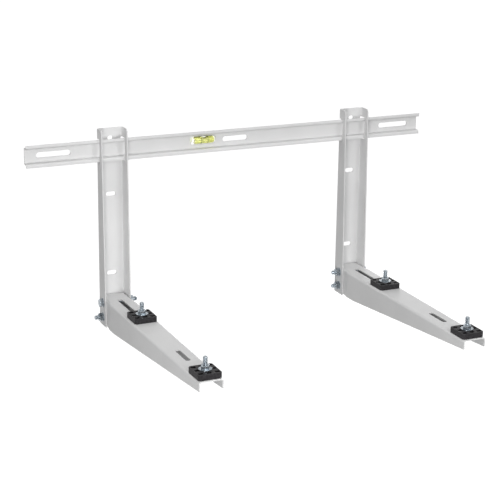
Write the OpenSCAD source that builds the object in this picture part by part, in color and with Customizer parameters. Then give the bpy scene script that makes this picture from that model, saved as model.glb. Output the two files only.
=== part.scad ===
// Wall bracket for the outdoor unit of an air conditioner.
// A folded crossbar with a spirit level is fixed to the wall. Two folded
// uprights hang on it through windows in their flanges and slide along it to
// suit the feet of the unit. Each carries an arm with two rubber pads.
// X runs along the crossbar, -Y points away from the wall and Z is up. The
// origin lies on the wall, on the centre line of the crossbar's slots.

/* [Brackets] */
// Place of the left bracket along the crossbar, to its middle
left_x = -233; // [-330:1:-110]
// Place of the right bracket along the crossbar, to its middle
right_x = 248; // [110:1:330]

/* [Crossbar] */
// Length of the crossbar
bar_len = 780; // [740:1:1100]
// Height of the crossbar from the edge of one lip to the other
bar_h = 39.5; // [35:0.5:46]
// Depth of the crossbar from its back to the front of its lips
bar_depth = 13; // [10:0.5:18]
// Height of the open channel between its flanges
bar_mouth = 26; // [22:0.5:27]
// Thickness of the crossbar's sheet
bar_t = 2; // [1.5:0.1:2.5]
// Inside radius of the crossbar's bends
bar_bend = 1.5; // [1:0.1:2]
// Gap between the crossbar and the web of an upright
bar_gap = 0.4; // [0.3:0.1:1]
// Height of the crossbar's slots
bar_slot_h = 9.5; // [6:0.5:12]
// Length of the two end slots
end_slot_len = 62; // [30:1:70]
// Distance of the middle of each end slot from the crossbar's end
end_slot_in = 52; // [50:1:70]
// Length of the middle slot
mid_slot_len = 49; // [20:1:56]
// Place of the middle slot
mid_slot_x = 7; // [0:1:10]

/* [Spirit level] */
// Place of the level along the crossbar
level_x = -57; // [-70:1:-55]
// Height of the level's middle above the slots' centre line
level_z = 3; // [0:0.1:4]
// Length of the vial
vial_len = 42; // [34:1:44]
// Diameter of the vial
vial_d = 13; // [11:0.2:14]
// Wall of the vial
vial_wall = 2; // [1.5:0.1:3]
// Radius of the vial's rounded ends
vial_round = 4.5; // [3:0.1:5]
// Gap between each end of the vial and its window
vial_gap = 1.2; // [0.8:0.1:2]
// Height of the window in the crossbar
vial_window_h = 14; // [13:0.5:16]
// Height of the vial's axis above the middle of its window
vial_lift = 2; // [0:0.1:2.5]
// Length by which the vial stands in front of the crossbar's lips
vial_proud = 0.4; // [0.1:0.1:1]
// Height of the two clips that hold the vial
clip_h = 7; // [5:0.5:9]
// Length by which a clip laps the edge of the window
clip_lap = 2.4; // [1.5:0.1:3]
// Thickness of each leaf of a clip
clip_t = 1.3; // [1:0.1:1.6]
// Length of the air bubble
bubble_len = 11; // [6:0.5:14]
// Depth of the air bubble
bubble_depth = 2.6; // [1.5:0.1:3]

/* [Uprights] */
// Height of an upright
upright_h = 359; // [350:1:440]
// Height of its top above the crossbar's centre line
head_rise = 37.5; // [34:0.5:50]
// Outside width of an upright
upright_w = 49; // [44:1:60]
// Thickness of its sheet
upright_t = 2; // [1.5:0.1:3]
// Inside radius of its bends
upright_bend = 2; // [1:0.1:3]
// Depth of its flanges at the top
flange_top = 25.5; // [22:0.5:34]
// Depth of its flanges at the foot
flange_foot = 35; // [32:0.5:50]
// Radius of the flanges' front corner at the top
flange_round = 6; // [3:1:14]
// Gap above the crossbar in the flanges' windows
window_over = 0.4; // [0.3:0.1:1]
// Gap below the crossbar in the windows
window_under = 2.6; // [1:0.1:5]
// Gap in front of the crossbar in the windows
window_front = 0.8; // [0.4:0.1:2]
// Length by which a window runs round the bend into the web
window_reach = 5; // [4:0.5:7]
// Height of the holes in the web
wall_slot_h = 8; // [6:0.5:10]
// Length of the two lower slots
wall_slot_len = 18; // [12:1:24]
// Length of the short slot at the top
top_slot_len = 10; // [9:1:16]
// Height of the low slot above the foot
low_slot_z = 92; // [76:1:110]
// Distance of the middle slot below the top of the upright
mid_slot_drop = 120; // [80:1:160]
// Distance of the top slot below the top of the upright
top_slot_drop = 18; // [15:1:20]

/* [Arms] */
// Reach of an arm from the wall to its front end
arm_reach = 460; // [380:1:560]
// Thickness of its sheet
arm_t = 2; // [1.5:0.1:3]
// Outside radius of its two folds
arm_fold = 4; // [3:0.1:5]
// Height of its top face above the foot of the upright
arm_top = 52; // [50:1:70]
// Outside width of its front end
arm_front_w = 42; // [41:0.5:48]
// Depth of its sides at the wall
arm_back_h = 50; // [46:0.5:50]
// Depth of its sides at the front end
arm_front_h = 16; // [13:0.5:24]
// Distance from the wall at which the sides begin to taper
taper_start = 78; // [60:1:120]
// Gap between the arm and the inside of the upright
arm_gap = 0.3; // [0.1:0.05:0.5]
// Distance from the flanges' front edge to the arm's joggle
joggle_lead = 7; // [5:1:16]
// Length of the joggle
joggle_len = 12; // [6:1:14]
// Width of the slots in the top face
arm_slot_w = 9; // [9:0.5:11]
// Start of the rear slot, from the wall
rear_slot_start = 42; // [38:1:80]
// Length of the rear slot
rear_slot_len = 128; // [124:1:145]
// Distance of the front slot's end from the arm's front end
front_slot_in = 92; // [85:1:110]
// Length of the front slot
front_slot_len = 52; // [30:1:70]
// Length of the slot under the front pad
foot_slot_len = 30; // [10:1:36]

/* [Pads] */
// Distance of the rear pad from the wall, to its middle
rear_pad_y = 155; // [140:1:160]
// Distance of the front pad's middle from the arm's front end
front_pad_in = 25; // [23:1:40]
// Length of a pad along the arm
pad_len = 44; // [38:1:46]
// Width of a pad
pad_w = 40.5; // [36:0.5:41]
// Thickness of a pad
pad_t = 9.5; // [8:0.5:14]
// Size of its cut corners
pad_corner = 3; // [1:0.5:8]
// Depth of the pockets in its top
pocket_depth = 4; // [2:0.5:6]
// Length of a pocket across the pad
pocket_w = 8.5; // [6:0.5:10]
// Width of a pocket along the pad
pocket_len = 7; // [3:0.5:8]
// Width of the rib between the pockets and the sides of the pad
pocket_rim = 2; // [1.5:0.1:4]
// Width of the rib between the pockets and the ends of the pad
pocket_end_rim = 3.5; // [2:0.1:5]

/* [Fasteners] */
// Thread diameter of all bolts
bolt_d = 8; // [8:0.1:8.4]
// Diameter of the holes that a bolt passes
hole_d = 9; // [9:0.1:10]
// Width across flats of nuts and heads
hex_w = 13; // [12:0.5:15]
// Height of a nut
nut_h = 6.5; // [5:0.1:8]
// Height of a bolt's head
head_h = 5.3; // [4:0.1:7]
// Outside diameter of the washers on the sides
side_washer_d = 16; // [15:0.5:18]
// Outside diameter of the washers on and under the pads
pad_washer_d = 22; // [18:0.5:26]
// Thickness of the washers
washer_t = 1.6; // [1:0.1:2]
// Distance of the side bolts from the wall
side_bolt_y = 20; // [18:0.5:22]
// Height of the upper side bolt above the foot
upper_bolt_z = 43; // [38:0.5:44]
// Height of the lower side bolt above the foot
lower_bolt_z = 16; // [13:0.5:18]
// Length of the side bolts below their heads
side_bolt_len = 66; // [64:1:90]
// Length of the pad bolts below their heads
pad_bolt_len = 35; // [28:1:45]

/* [Hidden] */
$fn = 48;
eps = 0.01;
over = 20;
bar_y = upright_t + bar_gap;
bar_front = bar_y + bar_depth;
vial_y = bar_front - vial_d / 2 + vial_proud;
vial_window_len = vial_len + 2 * vial_gap;
foot_z = head_rise - upright_h;
end_slot_x = bar_len / 2 - end_slot_in;
arm_z = foot_z + arm_top;
pad_z = arm_z + pad_t;
arm_back = upright_t + upright_bend + 0.3;
arm_rear_w = upright_w - 2 * (upright_t + arm_gap);
joggle_y = flange_foot + joggle_lead;
front_pad_y = arm_reach - front_pad_in;
pocket_x = pad_w / 2 - pocket_rim - pocket_w / 2;
pocket_end = pad_len / 2 - pocket_end_rim - pocket_len / 2;
corner_shift = max(0, pad_corner - pocket_rim - pocket_end_rim + 2);
pad_places = [rear_pad_y, front_pad_y];
side_bolt_places = [upper_bolt_z, lower_bolt_z];

// Quarter of a bend: sheet of thickness t round an inside radius r,
// in the quadrant between +X and +Y.
module bend(r, t) {
    intersection() {
        difference() {
            circle(r + t);
            circle(r);
        }
        square(r + t);
    }
}

// Round-ended slot, centred, cut through a face that is square to Z
module slot_z(len, width, height) {
    translate([0, 0, -height / 2]) {
        translate([-(len - width) / 2, -width / 2, 0]) cube([len - width, width, height]);
        for (side = [-1, 1])
            translate([side * (len - width) / 2, 0, 0]) cylinder(d = width, h = height);
    }
}

// The same slot, cut through the wall side of a sheet, so square to Y
module slot_y(len, width, height) {
    rotate([90, 0, 0]) slot_z(len, width, height);
}

// Hat section of the crossbar: web at the back, lips turned outwards at the
// front. The first axis runs forwards from the back of the web.
module hat_profile() {
    inner = bar_mouth / 2;
    turn = bar_t + bar_bend;
    translate([0, -inner + bar_bend]) square([bar_t, 2 * (inner - bar_bend)]);
    for (side = [0, 1]) mirror([0, side]) {
        translate([turn, inner - bar_bend]) rotate(90) bend(bar_bend, bar_t);
        translate([turn, inner]) square([bar_depth - 2 * turn, bar_t]);
        translate([bar_depth - turn, inner + turn]) rotate(270) bend(bar_bend, bar_t);
        translate([bar_depth - bar_t, inner + turn]) square([bar_t, bar_h / 2 - inner - turn]);
    }
}

module crossbar() {
    color("gainsboro") difference() {
        translate([-bar_len / 2, -bar_y, 0]) rotate([90, 0, 90])
            linear_extrude(bar_len) mirror([1, 0]) hat_profile();
        for (side = [-1, 1])
            translate([side * end_slot_x, -bar_y, 0]) slot_y(end_slot_len, bar_slot_h, over);
        translate([mid_slot_x, -bar_y, 0]) slot_y(mid_slot_len, bar_slot_h, over);
        translate([level_x - vial_window_len / 2, -bar_y - over / 2,
                level_z - vial_lift - vial_window_h / 2])
            cube([vial_window_len, over, vial_window_h]);
    }
}

// Half section of a barrel with rounded ends, to be turned about its axis
module barrel_profile(len, d, r) {
    square([d / 2 - r, len]);
    translate([0, r]) square([d / 2, len - 2 * r]);
    for (end = [r, len - r]) translate([d / 2 - r, end]) circle(r);
}

module barrel(len, d, r) {
    translate([-len / 2, 0, 0]) rotate([0, 90, 0]) rotate_extrude() intersection() {
        barrel_profile(len, d, r);
        square([d, len]);
    }
}

// One clip: two leaves that grip the edge of the window from both sides
module level_clip() {
    root = vial_len / 2 - vial_round;
    reach = vial_gap + clip_lap + vial_round;
    grip = bar_t + 0.2;
    translate([root, -bar_y - bar_t / 2, -clip_h / 2]) difference() {
        translate([0, -grip / 2 - clip_t, 0]) cube([reach, grip + 2 * clip_t, clip_h]);
        translate([vial_round + vial_gap - 0.1, -grip / 2, -eps]) cube([reach, grip, clip_h + 2 * eps]);
    }
}

module level_vial() {
    color("palegoldenrod", 0.6) translate([level_x, 0, level_z]) difference() {
        union() {
            translate([0, -vial_y, 0]) barrel(vial_len, vial_d, vial_round);
            for (side = [0, 1]) mirror([side, 0, 0]) level_clip();
        }
        translate([0, -vial_y, 0])
            barrel(vial_len - 2 * vial_wall, vial_d - 2 * vial_wall, vial_round - vial_wall);
    }
}

// The liquid fills the vial but for the bubble against its upper wall
module level_liquid() {
    inside_d = vial_d - 2 * vial_wall;
    color("greenyellow") translate([level_x, -vial_y, level_z]) difference() {
        barrel(vial_len - 2 * vial_wall, inside_d, vial_round - vial_wall);
        intersection() {
            translate([0, 0, inside_d / 2 - bubble_depth])
                cylinder(d = bubble_len, h = inside_d);
            translate([-bubble_len, -inside_d, 0]) cube([2 * bubble_len, 2 * inside_d, inside_d]);
        }
    }
}

// Plan of the upright: web on the wall and two flanges, centred on X
module channel_profile(w, depth, t, r) {
    turn = r + t;
    translate([-w / 2 + turn, 0]) square([w - 2 * turn, t]);
    for (side = [0, 1]) mirror([side, 0]) {
        translate([w / 2 - turn, turn]) rotate(270) bend(r, t);
        translate([w / 2 - t, turn]) square([t, depth - turn]);
    }
}

// Side view of the upright, with the depth along the first axis: its front
// edge leans back towards the top and ends in a round corner.
module upright_side() {
    lean = atan((flange_foot - flange_top) / upright_h);
    centre = [flange_top - flange_round + flange_round * tan(lean), upright_h - flange_round];
    corner = [for (i = [0:10]) let (a = i * 9)
        centre + flange_round * [cos(a), sin(a)]];
    polygon(concat([[-1, 0], [flange_foot, 0]], corner, [[-1, upright_h]]));
}

module upright() {
    window_z = -bar_h / 2 - window_under;
    window_h = bar_h + window_under + window_over;
    color("whitesmoke") difference() {
        translate([0, 0, foot_z]) intersection() {
            mirror([0, 1, 0]) linear_extrude(upright_h)
                channel_profile(upright_w, flange_foot, upright_t, upright_bend);
            translate([-upright_w / 2 - 1, 0, 0]) rotate([90, 0, 90])
                linear_extrude(upright_w + 2) mirror([1, 0]) upright_side();
        }
        for (side = [0, 1]) mirror([side, 0, 0])
            translate([upright_w / 2 - window_reach, -bar_front - window_front, window_z])
                cube([window_reach + 1, bar_front + window_front + 1, window_h]);
        for (z = [foot_z + low_slot_z, head_rise - mid_slot_drop])
            translate([0, 0, z]) slot_y(wall_slot_len, wall_slot_h, over);
        translate([0, 0, head_rise - top_slot_drop]) slot_y(top_slot_len, wall_slot_h, over);
        side_holes();
    }
}

// Holes for the bolts that join the arm to the flanges
module side_holes() {
    for (z = side_bolt_places)
        translate([-upright_w, -side_bolt_y, foot_z + z]) rotate([0, 90, 0])
            cylinder(d = hole_d, h = 2 * upright_w);
}

// Skin over a row of closed outlines with the same number of points each
module loft(outlines) {
    n = len(outlines[0]);
    last = len(outlines) - 1;
    polyhedron(
        points = [for (outline = outlines) each outline],
        faces = concat(
            [[for (i = [n - 1:-1:0]) i]],
            [[for (i = [0:n - 1]) last * n + i]],
            [for (k = [0:last - 1]) for (i = [0:n - 1]) let (j = (i + 1) % n)
                [k * n + i, k * n + j, (k + 1) * n + j, (k + 1) * n + i]]));
}

// Section of an arm at a distance from the wall: a block with its two upper
// edges rounded, hanging from the top face.
function arm_section(y, w, h, r, top) = concat(
    [[-w / 2, -y, top - h]],
    [for (a = [180:-15:90]) [-w / 2 + r + r * cos(a), -y, top - r + r * sin(a)]],
    [for (a = [90:-15:0]) [w / 2 - r + r * cos(a), -y, top - r + r * sin(a)]],
    [[w / 2, -y, top - h]]);

// The solid form of an arm, drawn in by an inset all round but below:
// straight in the upright, then widened by the joggle, then tapering.
module arm_form(inset, ends) {
    stations = concat(
        [[arm_back - ends, arm_rear_w]],
        [[joggle_y, arm_rear_w], [joggle_y + joggle_len, upright_w], [arm_reach, arm_front_w]],
        ends > 0 ? [[arm_reach + ends, arm_front_w]] : []);
    loft([for (s = stations) arm_section(s[0], s[1] - 2 * inset, arm_back_h + inset,
        arm_fold - inset, arm_z - inset)]);
}

module arm() {
    color("whitesmoke") difference() {
        arm_form(0, 0);
        arm_form(arm_t, 1);
        // The sides taper from the wall to the front end
        translate([-upright_w, 0, arm_z]) rotate([90, 0, 90]) linear_extrude(2 * upright_w)
            polygon([[0, -arm_back_h], [-taper_start, -arm_back_h], [-arm_reach, -arm_front_h],
                [-arm_reach - over, -arm_front_h], [-arm_reach - over, -2 * arm_back_h],
                [0, -2 * arm_back_h]]);
        arm_slot(rear_slot_start + rear_slot_len / 2, rear_slot_len);
        arm_slot(arm_reach - front_slot_in - front_slot_len / 2, front_slot_len);
        arm_slot(front_pad_y, foot_slot_len);
        side_holes();
    }
}

module arm_slot(y, len) {
    translate([0, -y, arm_z]) rotate(90) slot_z(len, arm_slot_w, 3 * arm_t);
}

// Rubber pad: a block with cut corners and a ring of pockets round the bolt
module pad(y) {
    color("dimgray") translate([0, -y, arm_z]) difference() {
        linear_extrude(pad_t) polygon([
            [-pad_w / 2 + pad_corner, -pad_len / 2], [pad_w / 2 - pad_corner, -pad_len / 2],
            [pad_w / 2, -pad_len / 2 + pad_corner], [pad_w / 2, pad_len / 2 - pad_corner],
            [pad_w / 2 - pad_corner, pad_len / 2], [-pad_w / 2 + pad_corner, pad_len / 2],
            [-pad_w / 2, pad_len / 2 - pad_corner], [-pad_w / 2, -pad_len / 2 + pad_corner]]);
        translate([0, 0, -1]) cylinder(d = hole_d, h = pad_t + 2);
        for (row = [-1, 0, 1]) for (column = [-1, 0, 1]) if (row != 0 || column != 0)
            translate([column * (pocket_x - abs(row) * corner_shift) - pocket_w / 2,
                    row * pocket_end - pocket_len / 2, pad_t - pocket_depth])
                cube([pocket_w, pocket_len, pocket_depth + 1]);
    }
}

// Hexagon with its corners turned off at one or both faces
module hexagon(h, both) {
    corner_r = hex_w / 2 / cos(30);
    cut = (corner_r - hex_w / 2) * 0.6;
    low = both ? cut : 0;
    intersection() {
        cylinder(r = corner_r, h = h, $fn = 6);
        rotate_extrude() polygon([[0, 0], [corner_r - (both ? 2 * cut : 0), 0],
            [corner_r, low], [corner_r, h - cut], [corner_r - 2 * cut, h], [0, h]]);
    }
}

module nut() {
    color("lightsteelblue") difference() {
        hexagon(nut_h, true);
        translate([0, 0, -1]) cylinder(d = bolt_d, h = nut_h + 2);
    }
}

module washer(d) {
    color("lightsteelblue") difference() {
        cylinder(d = d, h = washer_t);
        translate([0, 0, -1]) cylinder(d = bolt_d, h = washer_t + 2);
    }
}

// Bolt with its head below the origin and its shank upwards, chamfered at
// the end
module bolt(len) {
    chamfer = 1;
    color("lightsteelblue") {
        mirror([0, 0, 1]) hexagon(head_h, false);
        rotate_extrude() polygon([[0, -eps], [bolt_d / 2, -eps], [bolt_d / 2, len - chamfer],
            [bolt_d / 2 - chamfer, len], [0, len]]);
    }
}

module pad_bolts() {
    for (y = pad_places) translate([0, -y, arm_z - arm_t - washer_t]) bolt(pad_bolt_len);
}

module pad_nuts() {
    for (y = pad_places) translate([0, -y, pad_z + washer_t]) nut();
}

module top_washers() {
    for (y = pad_places) translate([0, -y, pad_z]) washer(pad_washer_d);
}

module under_washers() {
    for (y = pad_places) translate([0, -y, arm_z - arm_t - washer_t]) washer(pad_washer_d);
}

// Children stand on the right face of the upright at each side bolt and
// point to the left. On the left bracket the upper bolt is put in from the
// other side, so its children start on the left face.
module at_side_bolts(upper_turned) {
    for (i = [0, 1])
        translate([0, -side_bolt_y, foot_z + side_bolt_places[i]])
            rotate([0, 0, i == 0 && upper_turned ? 180 : 0])
                translate([upright_w / 2, 0, 0]) rotate([0, -90, 0]) children();
}

module side_bolts(upper_turned) {
    at_side_bolts(upper_turned) translate([0, 0, -washer_t]) bolt(side_bolt_len);
}

module side_nuts(upper_turned) {
    at_side_bolts(upper_turned) translate([0, 0, upright_w + washer_t]) nut();
}

module side_washers(upper_turned) {
    at_side_bolts(upper_turned) {
        translate([0, 0, -washer_t]) washer(side_washer_d);
        translate([0, 0, upright_w]) washer(side_washer_d);
    }
}

module left() {
    translate([left_x, 0, 0]) children();
}

module right() {
    translate([right_x, 0, 0]) children();
}

crossbar();
level_vial();
level_liquid();
left() upright();  // left_upright
left() arm();  // left_arm
left() pad(rear_pad_y);  // left_rear_pad
left() pad(front_pad_y);  // left_front_pad
left() pad_bolts();  // left_pad_bolts
left() pad_nuts();  // left_pad_nuts
left() top_washers();  // left_top_washers
left() under_washers();  // left_under_washers
left() side_bolts(true);  // left_side_bolts
left() side_nuts(true);  // left_side_nuts
left() side_washers(true);  // left_side_washers
right() upright();  // right_upright
right() arm();  // right_arm
right() pad(rear_pad_y);  // right_rear_pad
right() pad(front_pad_y);  // right_front_pad
right() pad_bolts();  // right_pad_bolts
right() pad_nuts();  // right_pad_nuts
right() top_washers();  // right_top_washers
right() under_washers();  // right_under_washers
right() side_bolts(false);  // right_side_bolts
right() side_nuts(false);  // right_side_nuts
right() side_washers(false);  // right_side_washers
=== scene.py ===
import math

import bpy
from mathutils import Matrix, Vector


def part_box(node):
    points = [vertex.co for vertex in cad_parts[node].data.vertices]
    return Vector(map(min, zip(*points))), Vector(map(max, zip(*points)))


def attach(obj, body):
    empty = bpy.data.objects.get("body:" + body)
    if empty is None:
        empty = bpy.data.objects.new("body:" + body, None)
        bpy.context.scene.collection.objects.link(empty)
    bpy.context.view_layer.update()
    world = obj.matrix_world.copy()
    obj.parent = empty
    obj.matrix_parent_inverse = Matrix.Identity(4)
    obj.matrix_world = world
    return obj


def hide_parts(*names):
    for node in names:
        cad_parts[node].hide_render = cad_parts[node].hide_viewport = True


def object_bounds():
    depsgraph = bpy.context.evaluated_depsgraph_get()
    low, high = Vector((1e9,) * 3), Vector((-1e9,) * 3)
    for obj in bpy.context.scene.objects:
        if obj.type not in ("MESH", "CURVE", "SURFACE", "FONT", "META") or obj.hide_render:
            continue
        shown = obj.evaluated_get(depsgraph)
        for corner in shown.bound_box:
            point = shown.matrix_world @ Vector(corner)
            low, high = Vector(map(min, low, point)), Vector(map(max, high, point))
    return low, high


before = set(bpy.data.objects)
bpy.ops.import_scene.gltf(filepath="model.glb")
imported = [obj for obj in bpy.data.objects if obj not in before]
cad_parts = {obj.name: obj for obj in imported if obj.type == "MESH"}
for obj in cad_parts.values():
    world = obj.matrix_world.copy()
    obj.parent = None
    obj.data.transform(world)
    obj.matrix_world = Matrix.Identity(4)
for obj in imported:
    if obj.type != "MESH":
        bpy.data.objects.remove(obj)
cad_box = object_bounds()

MM = 0.001
BRACKETS = ("left", "right")
SHEET_NODES = ["crossbar"] + [f"{side}_{part}" for side in BRACKETS for part in ("upright", "arm")]
PAD_NODES = [f"{side}_{part}" for side in BRACKETS for part in ("rear_pad", "front_pad")]
ZINC_NODES = [f"{side}_{part}" for side in BRACKETS
              for part in ("pad_nuts", "top_washers", "under_washers", "side_nuts", "side_washers")]

# Bolts: M8, coarse thread
HEX_WIDTH = 13 * MM
HEAD_HEIGHT = 5.3 * MM
THREAD_CREST = 3.95 * MM
THREAD_ROOT = 3.3 * MM
THREAD_PITCH = 1.25 * MM
THREAD_END = 1.0 * MM

# Spirit level
VIAL_WALL = 2 * MM
VIAL_DIAMETER = 13 * MM
VIAL_LENGTH = 42 * MM
LIQUID_GAP = 0.06 * MM
BUBBLE = (5.6 * MM, 3.6 * MM, 2.4 * MM)
BUBBLE_SINK = 1.1 * MM
MARK_SPACING = 12.5 * MM
MARK_WIDTH = 0.6 * MM


# Helpers

def let_go():
    """Leaves edit mode and deselects everything."""
    if bpy.context.object and bpy.context.object.mode != "OBJECT":
        bpy.ops.object.mode_set(mode="OBJECT")
    bpy.ops.object.select_all(action="DESELECT")


def pick(piece):
    let_go()
    piece.select_set(True)
    bpy.context.view_layer.objects.active = piece


def apply_modifiers(piece):
    pick(piece)
    for modifier in list(piece.modifiers):
        bpy.ops.object.modifier_apply(modifier=modifier.name)


def settle(piece, name):
    """Puts the piece's place into its mesh and names it."""
    pick(piece)
    bpy.ops.object.transform_apply(location=True, rotation=True, scale=True)
    piece.name = name
    piece.data.name = name
    return piece


def join(pieces, name):
    let_go()
    for piece in pieces:
        piece.select_set(True)
    bpy.context.view_layer.objects.active = pieces[0]
    bpy.ops.object.join()
    return settle(bpy.context.object, name)


def copy_to(piece, place):
    """A copy with its own mesh, moved by a matrix."""
    twin = piece.copy()
    twin.data = piece.data.copy()
    bpy.context.scene.collection.objects.link(twin)
    twin.matrix_world = place
    return twin


def dress(piece, material):
    piece.data.materials.clear()
    piece.data.materials.append(material)


# Materials

def start_material(name):
    material = bpy.data.materials.new(name)
    material.use_nodes = True
    tree = material.node_tree
    return material, tree, tree.nodes["Principled BSDF"]


def noise_on(tree, scale, detail=2.0, roughness=0.5):
    place = tree.nodes.new("ShaderNodeTexCoord")
    noise = tree.nodes.new("ShaderNodeTexNoise")
    noise.inputs["Scale"].default_value = scale
    noise.inputs["Detail"].default_value = detail
    noise.inputs["Roughness"].default_value = roughness
    tree.links.new(place.outputs["Object"], noise.inputs["Vector"])
    return noise.outputs["Fac"]


def tone(tree, value, dark, light, start=0.35, end=0.65):
    ramp = tree.nodes.new("ShaderNodeValToRGB")
    ramp.color_ramp.elements[0].position = start
    ramp.color_ramp.elements[0].color = (*dark, 1)
    ramp.color_ramp.elements[1].position = end
    ramp.color_ramp.elements[1].color = (*light, 1)
    tree.links.new(value, ramp.inputs["Fac"])
    return ramp.outputs["Color"]


def spread(tree, value, low, high):
    span = tree.nodes.new("ShaderNodeMapRange")
    span.inputs["From Min"].default_value = 0.3
    span.inputs["From Max"].default_value = 0.7
    span.inputs["To Min"].default_value = low
    span.inputs["To Max"].default_value = high
    tree.links.new(value, span.inputs["Value"])
    return span.outputs["Result"]


def relief(tree, shader, value, strength, depth, edge):
    """Fine relief over edges that are softened by a small radius."""
    bevel = tree.nodes.new("ShaderNodeBevel")
    bevel.samples = 6
    bevel.inputs["Radius"].default_value = edge
    bump = tree.nodes.new("ShaderNodeBump")
    bump.inputs["Strength"].default_value = strength
    bump.inputs["Distance"].default_value = depth
    tree.links.new(bevel.outputs["Normal"], bump.inputs["Normal"])
    tree.links.new(value, bump.inputs["Height"])
    tree.links.new(bump.outputs["Normal"], shader.inputs["Normal"])


def powder_coat():
    """Light grey powder coat: a fine orange peel and soft changes of tone."""
    material, tree, shader = start_material("powder_coat_grey")
    tree.links.new(tone(tree, noise_on(tree, 9), (0.735, 0.735, 0.735), (0.785, 0.785, 0.785)),
                   shader.inputs["Base Color"])
    tree.links.new(spread(tree, noise_on(tree, 60), 0.42, 0.52), shader.inputs["Roughness"])
    shader.inputs["Specular IOR Level"].default_value = 0.35
    relief(tree, shader, noise_on(tree, 1500, 3), 0.25, 0.03 * MM, 0.5 * MM)
    return material


def zinc():
    """Bright zinc plating with a faint blue cast."""
    material, tree, shader = start_material("zinc_blue")
    shader.inputs["Metallic"].default_value = 1.0
    tree.links.new(tone(tree, noise_on(tree, 420, 3), (0.20, 0.23, 0.26), (0.50, 0.54, 0.57),
                        0.38, 0.62), shader.inputs["Base Color"])
    tree.links.new(spread(tree, noise_on(tree, 900), 0.17, 0.28), shader.inputs["Roughness"])
    relief(tree, shader, noise_on(tree, 2200), 0.15, 0.02 * MM, 0.3 * MM)
    return material


def rubber():
    """Black moulded rubber with a dull grain."""
    material, tree, shader = start_material("moulded_rubber")
    tree.links.new(tone(tree, noise_on(tree, 260, 3), (0.010, 0.009, 0.010), (0.026, 0.024, 0.027)),
                   shader.inputs["Base Color"])
    tree.links.new(spread(tree, noise_on(tree, 700), 0.5, 0.68), shader.inputs["Roughness"])
    shader.inputs["Specular IOR Level"].default_value = 0.25
    relief(tree, shader, noise_on(tree, 1800, 3), 0.5, 0.08 * MM, 0.6 * MM)
    return material


def vial_plastic():
    """Clear plastic with a yellow tint."""
    material, tree, shader = start_material("vial_clear")
    tree.links.new(tone(tree, noise_on(tree, 90), (0.95, 0.97, 0.78), (0.98, 0.99, 0.86)),
                   shader.inputs["Base Color"])
    tree.links.new(spread(tree, noise_on(tree, 400), 0.02, 0.06), shader.inputs["Roughness"])
    shader.inputs["Transmission Weight"].default_value = 1.0
    shader.inputs["IOR"].default_value = 1.28
    return material


def vial_liquid():
    """Yellow-green liquid."""
    material, tree, shader = start_material("vial_fluid")
    tree.links.new(tone(tree, noise_on(tree, 60), (0.92, 0.94, 0.32), (0.96, 0.97, 0.42)),
                   shader.inputs["Base Color"])
    shader.inputs["Roughness"].default_value = 0.02
    shader.inputs["Transmission Weight"].default_value = 0.35
    shader.inputs["IOR"].default_value = 1.33
    return material


def mark_ink():
    """Dark ink of the two level marks."""
    material, tree, shader = start_material("mark_ink")
    tree.links.new(tone(tree, noise_on(tree, 900), (0.015, 0.02, 0.008), (0.04, 0.05, 0.02)),
                   shader.inputs["Base Color"])
    shader.inputs["Roughness"].default_value = 0.5
    return material


# Bolts

def thread_rod(length):
    """A threaded rod that stands on the origin, with a turned-down end."""
    let_go()
    bpy.ops.mesh.primitive_plane_add(size=0.5 * MM, location=(THREAD_ROOT, 0, -THREAD_PITCH))
    rod = settle(bpy.context.object, "rod")
    bpy.ops.object.mode_set(mode="EDIT")
    bpy.ops.mesh.select_mode(type="VERT")
    bpy.ops.mesh.select_all(action="SELECT")
    bpy.ops.mesh.merge(type="CENTER")
    rise = THREAD_CREST - THREAD_ROOT
    for out, up in ((rise, 0.36), (0, 0.14), (-rise, 0.36), (0, 0.14)):
        bpy.ops.mesh.extrude_region_move(
            TRANSFORM_OT_translate={"value": (out, 0, up * THREAD_PITCH)})
    bpy.ops.object.mode_set(mode="OBJECT")
    turns = math.ceil((length - THREAD_END) / THREAD_PITCH) + 1
    screw = rod.modifiers.new("thread", "SCREW")
    screw.angle = 2 * math.pi
    screw.screw_offset = THREAD_PITCH
    screw.iterations = turns
    screw.steps = 28
    screw.render_steps = 28
    screw.use_merge_vertices = True
    screw.merge_threshold = 0.001 * MM
    screw.use_smooth_shade = False
    apply_modifiers(rod)
    bpy.ops.object.mode_set(mode="EDIT")
    for height, upper in ((0.0, False), (length - THREAD_END, True)):
        bpy.ops.mesh.select_all(action="SELECT")
        bpy.ops.mesh.bisect(plane_co=(0, 0, height), plane_no=(0, 0, 1), use_fill=True,
                            clear_inner=not upper, clear_outer=upper, threshold=0.0001 * MM)
    bpy.ops.mesh.select_all(action="SELECT")
    bpy.ops.mesh.normals_make_consistent(inside=False)
    bpy.ops.object.mode_set(mode="OBJECT")
    bpy.ops.mesh.primitive_cone_add(
        vertices=32, radius1=THREAD_CREST - 0.15 * MM, radius2=THREAD_ROOT - 0.25 * MM,
        depth=THREAD_END * 1.2, location=(0, 0, length - THREAD_END * 0.6))
    tip = bpy.context.object
    return join([rod, tip], "thread")


def hex_head():
    """A hexagon head below the origin, with its lower corners turned off."""
    bpy.ops.mesh.primitive_cylinder_add(
        vertices=6, radius=HEX_WIDTH / 2 / math.cos(math.pi / 6), depth=HEAD_HEIGHT,
        location=(0, 0, -HEAD_HEIGHT / 2), rotation=(0, 0, math.pi / 6))
    head = settle(bpy.context.object, "head")
    pick(head)
    bpy.ops.object.mode_set(mode="EDIT")
    bpy.ops.mesh.select_all(action="DESELECT")
    bpy.ops.object.mode_set(mode="OBJECT")
    for edge in head.data.edges:
        edge.select = all(head.data.vertices[v].co.z < -HEAD_HEIGHT * 0.9 for v in edge.vertices)
    bpy.ops.object.mode_set(mode="EDIT")
    bpy.ops.mesh.select_mode(type="EDGE")
    bpy.ops.mesh.bevel(offset=0.7 * MM, segments=3)
    bpy.ops.object.mode_set(mode="OBJECT")
    return head


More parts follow.
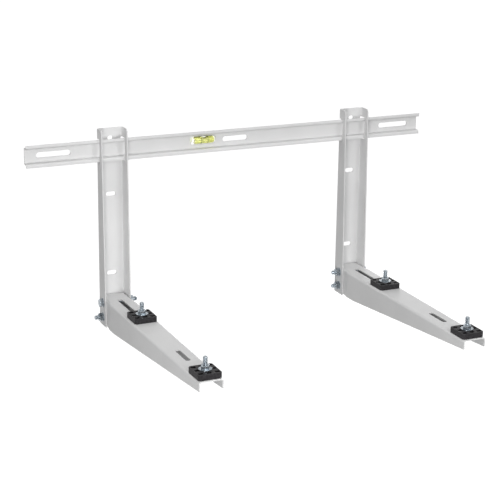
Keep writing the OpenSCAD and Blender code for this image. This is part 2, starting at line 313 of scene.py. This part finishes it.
def threaded_bolt(length):
    bolt = join([hex_head(), thread_rod(length)], "bolt")
    pick(bolt)
    bpy.ops.object.shade_smooth_by_angle(angle=math.radians(32))
    return bolt


def fit_bolts(node, body, pattern, places, material):
    """Copies of one threaded bolt take the places of a node's plain bolts."""
    piece = join([copy_to(pattern, place) for place in places], node + "_threaded")
    dress(piece, material)
    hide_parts(node)
    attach(piece, body)


def make_bolts(material):
    low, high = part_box("left_pad_bolts")
    pad_bolt = threaded_bolt(high.z - low.z - HEAD_HEIGHT)
    low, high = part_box("right_side_bolts")
    side_bolt = threaded_bolt(high.x - low.x - HEAD_HEIGHT)
    reach = HEX_WIDTH / 2 / math.cos(math.pi / 6)
    for side in BRACKETS:
        node = side + "_pad_bolts"
        low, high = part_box(node)
        middle = (low.x + high.x) / 2
        places = [Matrix.Translation((middle, y, low.z + HEAD_HEIGHT))
                  for y in (low.y + HEX_WIDTH / 2, high.y - HEX_WIDTH / 2)]
        fit_bolts(node, side + "_bracket", pad_bolt, places, material)
        node = side + "_side_bolts"
        low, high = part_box(node)
        left_seat, right_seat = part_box(side + "_side_washers")
        # The left bracket's upper bolt is put in from the other side
        upper_seat, upper_turn = (left_seat, 90) if side == "left" else (right_seat, -90)
        places = [Matrix.Translation((seat.x, (low.y + high.y) / 2, z))
                  @ Matrix.Rotation(math.radians(turn), 4, "Y")
                  for seat, turn, z in ((right_seat, -90, low.z + reach),
                                        (upper_seat, upper_turn, high.z - reach))]
        fit_bolts(node, side + "_bracket", side_bolt, places, material)
    for pattern in (pad_bolt, side_bolt):
        bpy.data.objects.remove(pattern)


# Spirit level

def make_level(liquid_material, ink):
    low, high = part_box("level_liquid")
    centre = (low + high) / 2
    length = high.x - low.x - 2 * LIQUID_GAP
    radius = (high.z - low.z) / 2 - LIQUID_GAP
    bpy.ops.mesh.primitive_cylinder_add(vertices=64, radius=radius, depth=length,
                                        location=centre, rotation=(0, math.pi / 2, 0))
    liquid = settle(bpy.context.object, "liquid")
    pick(liquid)
    bpy.ops.object.mode_set(mode="EDIT")
    bpy.ops.mesh.select_all(action="DESELECT")
    bpy.ops.object.mode_set(mode="OBJECT")
    for edge in liquid.data.edges:
        ends = [liquid.data.vertices[v].co.x - centre.x for v in edge.vertices]
        edge.select = ends[0] * ends[1] > 0 and abs(ends[0] - ends[1]) < 0.01 * MM
    bpy.ops.object.mode_set(mode="EDIT")
    bpy.ops.mesh.select_mode(type="EDGE")
    bpy.ops.mesh.bevel(offset=2.4 * MM, segments=5)
    bpy.ops.object.mode_set(mode="OBJECT")
    bpy.ops.mesh.primitive_uv_sphere_add(
        segments=40, ring_count=20, radius=1, scale=BUBBLE,
        location=(centre.x, centre.y, centre.z + radius - BUBBLE_SINK))
    bubble = settle(bpy.context.object, "bubble")
    hollow = liquid.modifiers.new("bubble", "BOOLEAN")
    hollow.operation = "DIFFERENCE"
    hollow.solver = "MANIFOLD"
    hollow.object = bubble
    apply_modifiers(liquid)
    bpy.data.objects.remove(bubble)
    piece = settle(liquid, "level_fluid")
    pick(piece)
    bpy.ops.object.shade_smooth_by_angle(angle=math.radians(40))
    dress(piece, liquid_material)
    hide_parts("level_liquid")
    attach(piece, "wall_bar")

    marks = []
    for step in (-0.5, 0.5):
        bpy.ops.mesh.primitive_torus_add(
            major_segments=72, minor_segments=10, major_radius=VIAL_DIAMETER / 2,
            minor_radius=MARK_WIDTH / 2,
            location=(centre.x + step * MARK_SPACING, centre.y, centre.z),
            rotation=(0, math.pi / 2, 0))
        marks.append(settle(bpy.context.object, "mark"))
    rings = join(marks, "level_marks")
    pick(rings)
    bpy.ops.object.shade_smooth()
    dress(rings, ink)
    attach(rings, "wall_bar")


# Stage, light and camera

def make_floor():
    low, high = cad_box
    bpy.ops.mesh.primitive_plane_add(size=60, location=(0, 0, low.z - 0.75))
    floor = bpy.context.object
    floor.name = "floor"
    material, tree, shader = start_material("floor_white")
    tree.links.new(tone(tree, noise_on(tree, 3), (0.10, 0.10, 0.10), (0.12, 0.12, 0.12)),
                   shader.inputs["Base Color"])
    shader.inputs["Roughness"].default_value = 0.9
    path = tree.nodes.new("ShaderNodeLightPath")
    seen = tree.nodes.new("ShaderNodeMath")
    seen.operation = "MAXIMUM"
    tree.links.new(path.outputs["Is Camera Ray"], seen.inputs[0])
    tree.links.new(path.outputs["Is Glossy Ray"], seen.inputs[1])
    through = tree.nodes.new("ShaderNodeMath")
    through.operation = "MAXIMUM"
    tree.links.new(seen.outputs[0], through.inputs[0])
    tree.links.new(path.outputs["Is Transmission Ray"], through.inputs[1])
    glow = tree.nodes.new("ShaderNodeEmission")
    lift = tree.nodes.new("ShaderNodeMath")
    lift.operation = "MULTIPLY"
    lift.inputs[1].default_value = 0.96
    tree.links.new(through.outputs[0], lift.inputs[0])
    tree.links.new(lift.outputs[0], glow.inputs["Strength"])
    both = tree.nodes.new("ShaderNodeAddShader")
    tree.links.new(shader.outputs[0], both.inputs[0])
    tree.links.new(glow.outputs[0], both.inputs[1])
    tree.links.new(both.outputs[0], tree.nodes["Material Output"].inputs["Surface"])
    dress(floor, material)


def make_world(ambient):
    """Even light all round, on a background that shows white."""
    world = bpy.data.worlds.new("studio")
    bpy.context.scene.world = world
    world.use_nodes = True
    tree = world.node_tree
    tree.nodes.clear()
    path = tree.nodes.new("ShaderNodeLightPath")
    seen = tree.nodes.new("ShaderNodeMath")
    seen.operation = "MAXIMUM"
    tree.links.new(path.outputs["Is Camera Ray"], seen.inputs[0])
    tree.links.new(path.outputs["Is Glossy Ray"], seen.inputs[1])
    through = tree.nodes.new("ShaderNodeMath")
    through.operation = "MAXIMUM"
    tree.links.new(seen.outputs[0], through.inputs[0])
    tree.links.new(path.outputs["Is Transmission Ray"], through.inputs[1])
    light = tree.nodes.new("ShaderNodeBackground")
    light.inputs["Strength"].default_value = ambient
    white = tree.nodes.new("ShaderNodeBackground")
    white.inputs["Strength"].default_value = 1.0
    for background in (light, white):
        background.inputs["Color"].default_value = (1, 1, 1, 1)
    mix = tree.nodes.new("ShaderNodeMixShader")
    tree.links.new(through.outputs[0], mix.inputs["Fac"])
    tree.links.new(light.outputs[0], mix.inputs[1])
    tree.links.new(white.outputs[0], mix.inputs[2])
    out = tree.nodes.new("ShaderNodeOutputWorld")
    tree.links.new(mix.outputs[0], out.inputs["Surface"])


def softbox(name, place, target, size, power):
    data = bpy.data.lights.new(name, "AREA")
    data.shape = "DISK"
    data.size = size
    data.energy = power
    lamp = bpy.data.objects.new(name, data)
    bpy.context.scene.collection.objects.link(lamp)
    lamp.location = place
    aim = Vector(target) - Vector(place)
    lamp.rotation_euler = aim.to_track_quat("-Z", "Y").to_euler()


def make_camera():
    """The photograph's view: 17 degrees down and 25 degrees from the left."""
    data = bpy.data.cameras.new("camera")
    camera = bpy.data.objects.new("camera", data)
    bpy.context.scene.collection.objects.link(camera)
    data.sensor_width = 36
    data.lens = 107.117
    camera.matrix_world = (
        Matrix.Translation((-1.08345, -2.43285, 0.59744))
        @ Matrix.Rotation(-0.433508, 4, "Z")
        @ Matrix.Rotation(math.pi / 2 - 0.295807, 4, "X")
        @ Matrix.Rotation(0.014007, 4, "Z"))
    bpy.context.scene.camera = camera


def make_lights():
    make_world(0.43)
    softbox("key", (0.7, -2.85, 0.85), (0, -0.2, -0.15), 1.6, 24)
    softbox("top", (-0.2, -0.5, 2.4), (0, -0.2, -0.2), 1.8, 12)
    softbox("back", (1.5, 2.3, -0.35), (0, -0.1, -0.15), 1.2, 22)
    softbox("fill", (-0.9, -1.6, -0.2), (0, -0.25, -0.2), 0.6, 13)


# The bracket

def dress_nodes(names, material):
    for name in names:
        dress(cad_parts[name], material)


coat, plating = powder_coat(), zinc()
make_camera()
dress_nodes(SHEET_NODES, coat)
dress_nodes(PAD_NODES, rubber())
dress_nodes(ZINC_NODES, plating)
dress_nodes(["level_vial"], vial_plastic())
make_bolts(plating)
make_level(vial_liquid(), mark_ink())
make_floor()
make_lights()

bpy.context.scene.view_settings.view_transform = "Standard"
